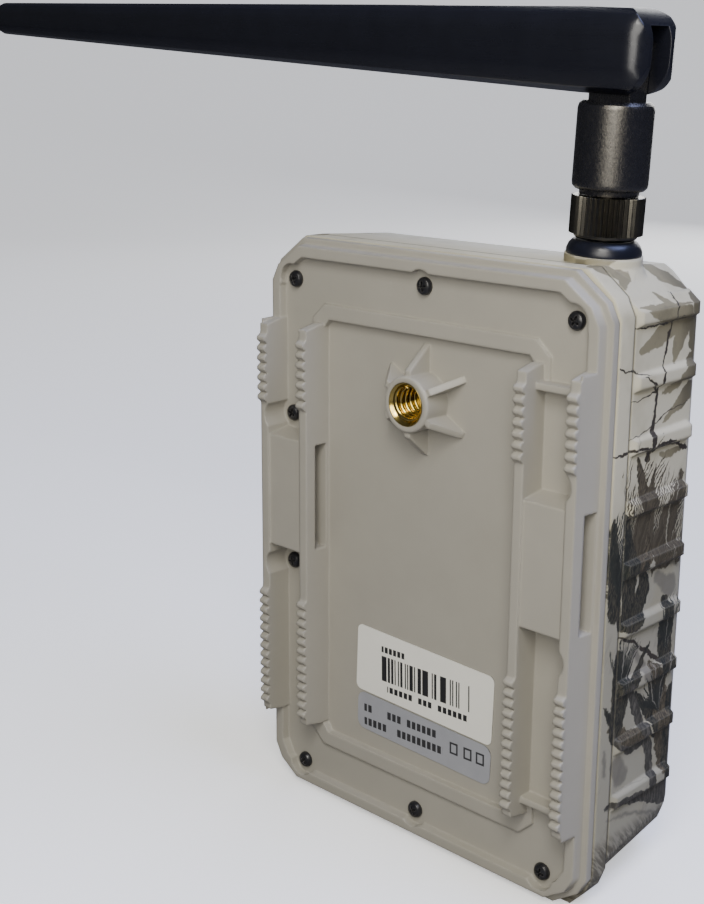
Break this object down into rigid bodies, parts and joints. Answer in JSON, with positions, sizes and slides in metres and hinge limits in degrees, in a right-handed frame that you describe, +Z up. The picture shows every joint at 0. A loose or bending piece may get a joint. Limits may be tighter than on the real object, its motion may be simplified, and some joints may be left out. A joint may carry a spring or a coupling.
{
  "type": "trail camera",
  "caption": "Battery trail camera: camouflaged case with a grey strap-mount back, brass tripod socket, infrared window, lens, motion sensor, bottom door and a folding whip antenna on a swivel.",
  "frame": {"origin": "centre of the case's base, on the plane it stands on", "axes": "+Z up; +Y towards the tree (strap rails, tripod socket); -Y along the lens; +X towards the blade's tip"},
  "size_m": [0.1927, 0.0434, 0.1615],
  "materials": {
    "grey_plastic": "fine spark-eroded moulding grain",
    "camo_plastic": "printed leaf, twig and pine camouflage",
    "gasket_rubber": "soft black silicone",
    "brass": "machined and knurled",
    "black_screw": "black zinc",
    "white_label": null,
    "silver_label": null,
    "black_plastic": "satin black moulding",
    "antenna_plastic": "satin black radome with faint blue sheen",
    "knurled_plastic": "gloss black, straight knurl",
    "clear_window": "coated flat glass",
    "lens_glass": "violet anti-reflection coating",
    "dark_window": "infrared-pass acrylic",
    "white_window": "milky polyethylene, ringed Fresnel grooves",
    "clear_plastic": "clear light pipe",
    "led_resin": "water-clear resin",
    "circuit_board": "green solder mask",
    "chip_black": "moulded epoxy",
    "steel": "stamped",
    "tin_can": "tinned shield",
    "ribbon": "white flat cable",
    "coax": "thin black jacket",
    "cell_wrap": "printed sleeve with a plain band",
    "key_white": "moulded",
    "light_grey": "moulded"
  },
  "bodies": {
    "case": {"rear_cover": "grey_plastic", "cover_gasket": "gasket_rubber", "rear_frame": "camo_plastic", "frame_gasket": "gasket_rubber", "front_housing": "camo_plastic", "tripod_insert": "brass", "case_screws": "black_screw", "code_label": "white_label", "rating_label": "silver_label", "lens_bezel": "black_plastic", "lens_window": "clear_window", "lens_barrel": "black_plastic", "lens_elements": "lens_glass", "lens_holder": "chip_black", "image_sensor": "chip_black", "sensor_board": "circuit_board", "ir_window": "dark_window", "ir_led_board": "circuit_board", "ir_leds": "led_resin", "pir_lens": "white_window", "pir_sensor": "tin_can", "light_sensor_window": "clear_plastic", "status_light": "clear_plastic", "microphone": "tin_can", "main_board": "circuit_board", "modem_module": "tin_can", "board_screws": "steel", "control_board": "circuit_board", "control_panel": "light_grey", "card_socket": "steel", "sim_socket": "steel", "usb_port": "steel", "mode_switch_base": "steel", "test_key_base": "steel", "ribbon_cable": "ribbon", "battery_cassette": "light_grey", "battery_cells": "cell_wrap", "battery_contacts": "steel", "antenna_jack": "brass", "jack_nut": "brass", "antenna_boot": "gasket_rubber", "coax_pigtail": "coax", "door_hinge_pin": "steel"},
    "antenna_swivel": {"antenna_base": "antenna_plastic", "antenna_contact": "brass"},
    "antenna_fold": {"antenna_blade": "antenna_plastic", "antenna_radiator": "circuit_board", "antenna_hinge_pin": "steel"},
    "antenna_nut": {"coupling_nut": "knurled_plastic"},
    "door": {"bottom_door": "camo_plastic", "door_seal": "gasket_rubber"},
    "latch": {"door_latch": "black_plastic"},
    "mode_knob": {"mode_switch": "chip_black"},
    "test_button": {"test_key": "key_white"},
    "card": {"memory_card": "chip_black"},
    "sim": {"sim_card": "key_white"},
    "filter": {"ir_cut_filter": "lens_glass"}
  },
  "joints": [
    {"name": "antenna_swivel_turn", "type": "hinge", "parent": "case", "child": "antenna_swivel", "pos_m": [-0.02884, 0.0025, 0.12339], "axis": [-0.0471, 0, 0.9989], "continuous": true},
    {"name": "antenna_tilt", "type": "hinge", "parent": "antenna_swivel", "child": "antenna_fold", "pos_m": [-0.03007, 0.0025, 0.14931], "axis": [0, -1, 0], "range_deg": [0, 90]},
    {"name": "antenna_nut_turn", "type": "hinge", "parent": "case", "child": "antenna_nut", "pos_m": [-0.02878, 0.0025, 0.12199], "axis": [-0.0471, 0, 0.9989], "continuous": true},
    {"name": "door_swing", "type": "hinge", "parent": "case", "child": "door", "pos_m": [0, 0.0064, 0.0024], "axis": [1, 0, 0], "range_deg": [0, 95]},
    {"name": "latch_slide", "type": "slide", "parent": "door", "child": "latch", "axis": [0, -1, 0], "range_m": [0, 0.0018]},
    {"name": "mode_slide", "type": "slide", "parent": "case", "child": "mode_knob", "axis": [1, 0, 0], "range_m": [0, 0.002]},
    {"name": "test_press", "type": "slide", "parent": "case", "child": "test_button", "axis": [0, 0, 1], "range_m": [0, 0.0005]},
    {"name": "card_push", "type": "slide", "parent": "case", "child": "card", "axis": [0, 0, 1], "range_m": [0, 0.0008]},
    {"name": "sim_push", "type": "slide", "parent": "case", "child": "sim", "axis": [0, 0, 1], "range_m": [0, 0.0008]},
    {"name": "filter_slide", "type": "slide", "parent": "case", "child": "filter", "axis": [1, 0, 0], "range_m": [0, 0.0055]}
  ]
}
